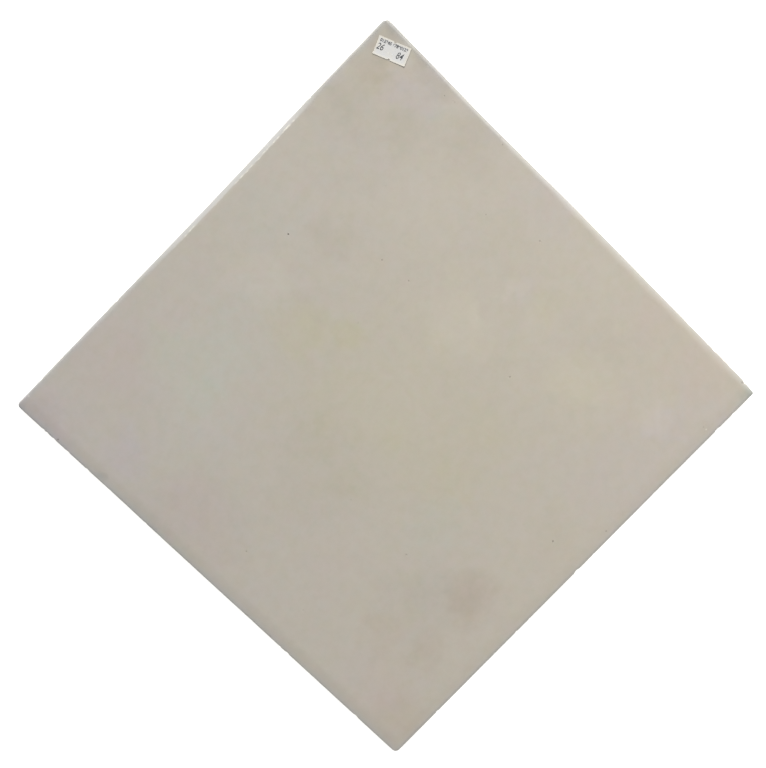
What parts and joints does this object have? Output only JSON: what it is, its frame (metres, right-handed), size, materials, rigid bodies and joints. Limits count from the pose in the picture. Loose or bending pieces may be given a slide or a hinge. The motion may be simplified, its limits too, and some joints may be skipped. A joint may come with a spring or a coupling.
{
  "type": "ceramic tile",
  "caption": "Square glazed ceramic tile with a soft cushion edge, slightly wavy sides, one worn corner, a ribbed keyed back, and a small notched paper price label near another corner.",
  "frame": {"origin": "under the middle of the tile, on the plane that the ribs of its back rest on", "axes": "+Z out of the glazed face, and X and Y along the sides; the price label is near the corner at +X, +Y"},
  "size_m": [0.3048, 0.3048, 0.0084],
  "materials": {
    "glaze": "satin greige glaze on the face and edges, bare cream fired clay on the back",
    "label_paper": "matt off-white paper"
  },
  "bodies": {
    "root": {"tile": "glaze", "price_label": "label_paper"}
  },
  "joints": []
}
